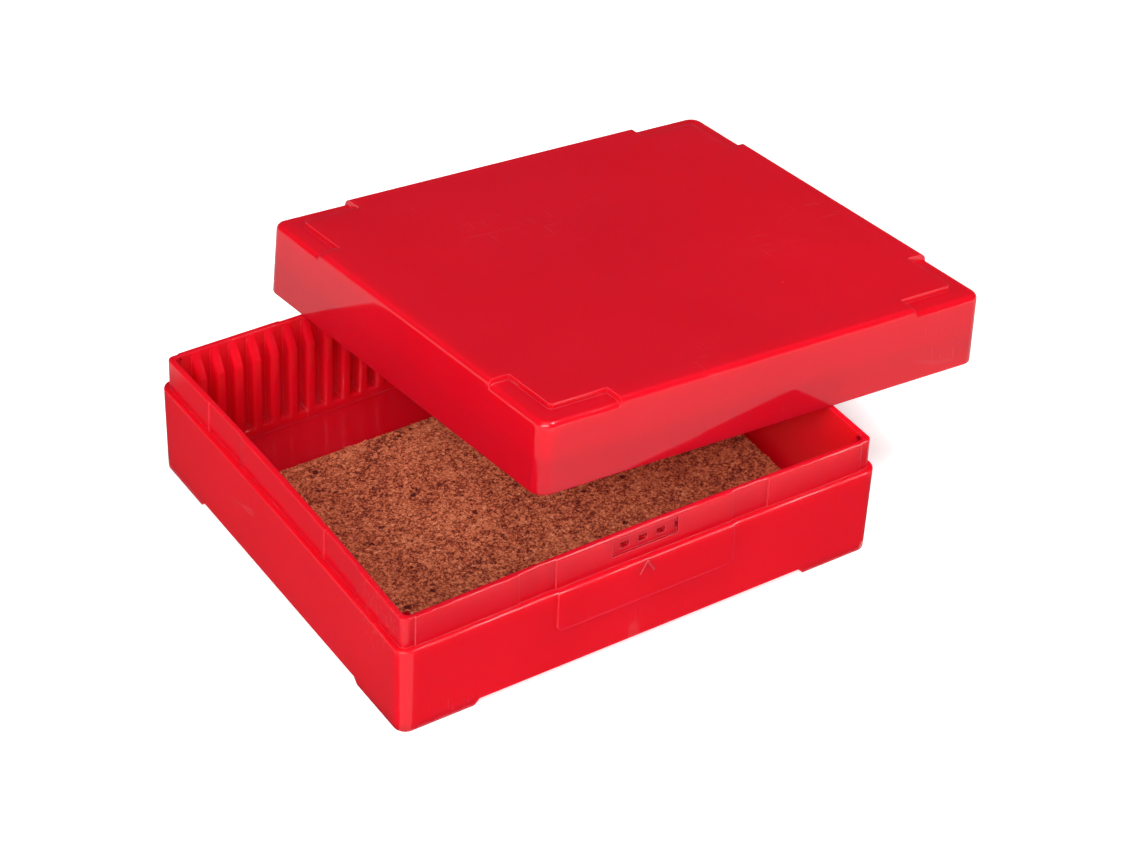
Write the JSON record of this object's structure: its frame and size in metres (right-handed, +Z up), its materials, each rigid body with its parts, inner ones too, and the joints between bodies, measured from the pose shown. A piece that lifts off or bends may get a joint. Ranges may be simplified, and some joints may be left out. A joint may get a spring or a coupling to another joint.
{
  "type": "microscope slide storage box",
  "caption": "Moulded box with slotted walls that hold microscope slides on edge over a cork liner, shown open with its lift-off lid laid askew on two of its rims.",
  "frame": {"origin": "on the table, under the middle of the tray and the laid lid together", "axes": "+X along the row of slots, -Y towards the latch side, +Z up"},
  "size_m": [0.1269, 0.0972, 0.0439],
  "materials": {
    "red_plastic": "moulded gloss with fine scuffs",
    "cork": "matt granular cork sheet"
  },
  "bodies": {
    "root": {"base_tray": "red_plastic", "lid": "red_plastic", "cork_liner": "cork"}
  },
  "joints": []
}
